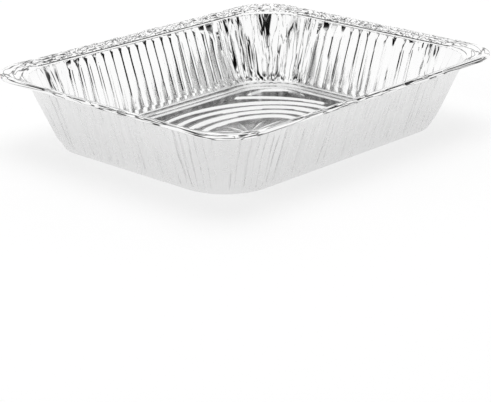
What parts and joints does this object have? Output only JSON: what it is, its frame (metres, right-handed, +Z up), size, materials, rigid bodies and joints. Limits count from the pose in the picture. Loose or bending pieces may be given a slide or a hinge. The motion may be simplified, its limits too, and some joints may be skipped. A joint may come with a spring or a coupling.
{
  "type": "foil roasting pan",
  "caption": "Rectangular foil roasting pan with fluted sloping walls, a wide crinkled rim with a rolled edge, and raised beads pressed into the floor.",
  "frame": {"origin": "centre of the flat underside of the floor, the face the pan rests on", "axes": "+X along the long sides, +Y along the short sides, +Z up out of the open top"},
  "size_m": [0.324, 0.265, 0.06],
  "materials": {
    "foil": "bright crinkled foil"
  },
  "bodies": {
    "root": {"pan": "foil"}
  },
  "joints": []
}
